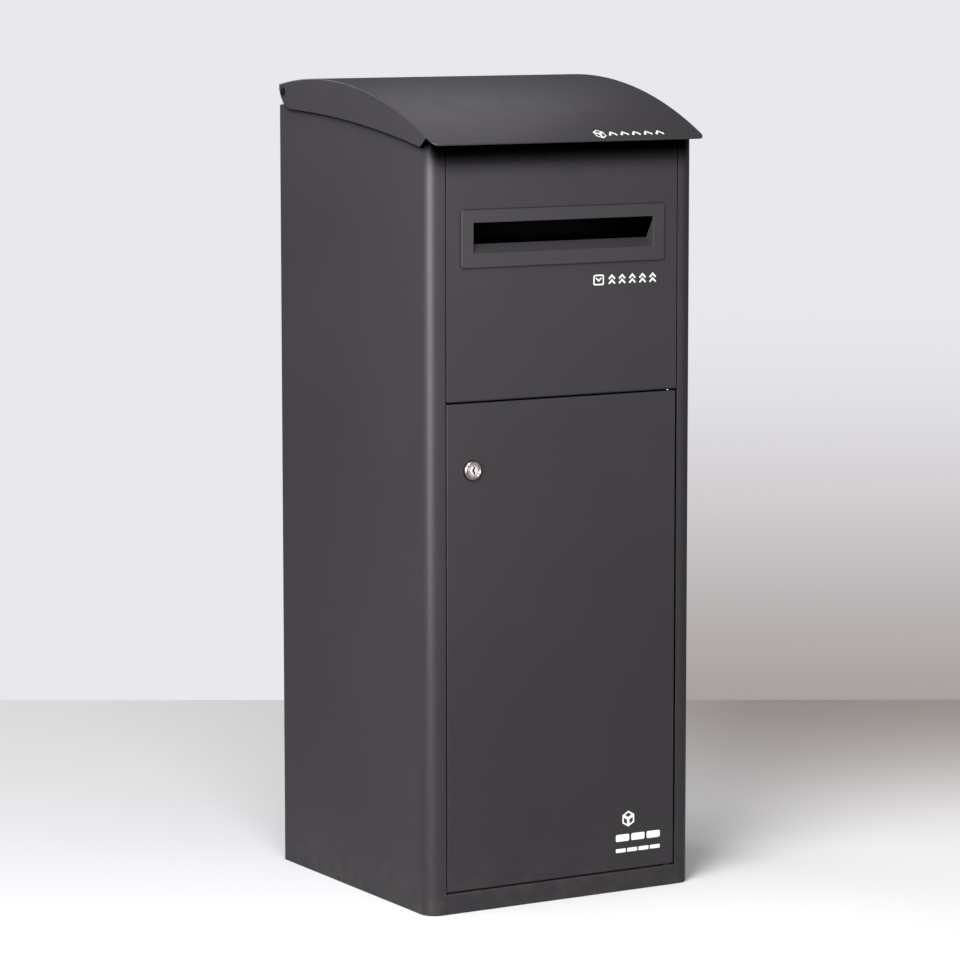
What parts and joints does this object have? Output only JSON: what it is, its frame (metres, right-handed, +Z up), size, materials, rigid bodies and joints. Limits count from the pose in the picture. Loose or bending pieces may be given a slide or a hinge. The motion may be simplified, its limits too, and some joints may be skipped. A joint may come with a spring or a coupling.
{
  "type": "parcel drop box",
  "caption": "Free-standing steel parcel box with a curved lift-up lid, inner anti-theft flap, front letter slot and a locking side-hinged collection door.",
  "frame": {"origin": "on the floor, under the centre of the casing's footprint", "axes": "+Z up, the letter slot and door face -Y, +X to the right when facing the box from the front"},
  "size_m": [0.3928, 0.4, 1.02],
  "materials": {
    "charcoal_powder_coat": "satin fine-texture powder coat",
    "inner_powder_coat": "satin powder coat, inside",
    "zinc_plated_steel": "zinc plated",
    "blackened_pin": "blackened steel",
    "chrome_lock": "polished nickel-chrome",
    "black_rubber": "matt rubber",
    "foam_seal": "closed-cell foam",
    "nylon": "black nylon",
    "printed_white": "white screen-printed ink"
  },
  "bodies": {
    "cabinet": {"side_panel_right": "charcoal_powder_coat", "side_panel_left": "charcoal_powder_coat", "back_panel": "charcoal_powder_coat", "base_plate": "charcoal_powder_coat", "floor_mat": "black_rubber", "kick_rail": "charcoal_powder_coat", "upper_front_panel": "charcoal_powder_coat", "panel_strip_right": "inner_powder_coat", "panel_strip_left": "inner_powder_coat", "door_jamb_left": "inner_powder_coat", "door_jamb_right": "inner_powder_coat", "door_seal_left": "foam_seal", "door_seal_top": "foam_seal", "letter_plate": "charcoal_powder_coat", "letter_plate_nuts": "zinc_plated_steel", "letter_chute": "inner_powder_coat", "pivot_block_lower": "zinc_plated_steel", "pivot_block_upper": "zinc_plated_steel", "door_pivot_washer": "nylon", "lid_buffers": "black_rubber", "hinge_bracket_right": "zinc_plated_steel", "hinge_bracket_left": "zinc_plated_steel", "lid_hinge_bushes": "nylon", "flap_bearing_right": "zinc_plated_steel", "flap_bearing_left": "zinc_plated_steel"},
    "door": {"door_panel": "charcoal_powder_coat", "door_stiffener": "inner_powder_coat", "door_pivot_pins": "zinc_plated_steel", "lock_housing": "chrome_lock", "lock_nut": "zinc_plated_steel"},
    "lock": {"lock_plug": "chrome_lock", "lock_cam": "zinc_plated_steel", "cam_screw": "zinc_plated_steel"},
    "lid": {"lid_shell": "charcoal_powder_coat", "lid_stiffener": "inner_powder_coat", "crank_plate_right": "zinc_plated_steel", "crank_plate_left": "zinc_plated_steel", "lid_hinge_pins": "blackened_pin", "crank_pins": "zinc_plated_steel"},
    "arms": {"arm_right": "zinc_plated_steel", "arm_left": "zinc_plated_steel"},
    "flap": {"flap_plate": "inner_powder_coat", "flap_shaft": "zinc_plated_steel", "flap_cheek_right": "inner_powder_coat", "flap_cheek_left": "inner_powder_coat", "flap_pins": "zinc_plated_steel", "flap_edge_trim": "black_rubber"}
  },
  "joints": [
    {"name": "lid_hinge", "type": "hinge", "parent": "cabinet", "child": "lid", "pos_m": [0, 0.176, 1.0016], "axis": [-1, 0, 0], "range_deg": [0, 80]},
    {"name": "arm_pivot", "type": "hinge", "parent": "lid", "child": "arms", "pos_m": [0, 0.13743, 0.95564], "axis": [-1, 0, 0], "range_deg": [-80, 0]},
    {"name": "flap_hinge", "type": "hinge", "parent": "cabinet", "child": "flap", "pos_m": [0, 0.17, 0.705], "axis": [-1, 0, 0], "range_deg": [0, 80]},
    {"name": "door_hinge", "type": "hinge", "parent": "cabinet", "child": "door", "pos_m": [0.158, -0.183, 0.33], "axis": [0, 0, 1], "range_deg": [0, 100]},
    {"name": "lock_turn", "type": "hinge", "parent": "door", "child": "lock", "pos_m": [-0.13, -0.19, 0.55], "axis": [0, 1, 0], "range_deg": [0, 90]}
  ],
  "couplings": [
    {"joint": "arm_pivot", "follows": "lid_hinge", "ratio": -1},
    {"joint": "flap_hinge", "follows": "lid_hinge", "ratio": 1}
  ]
}
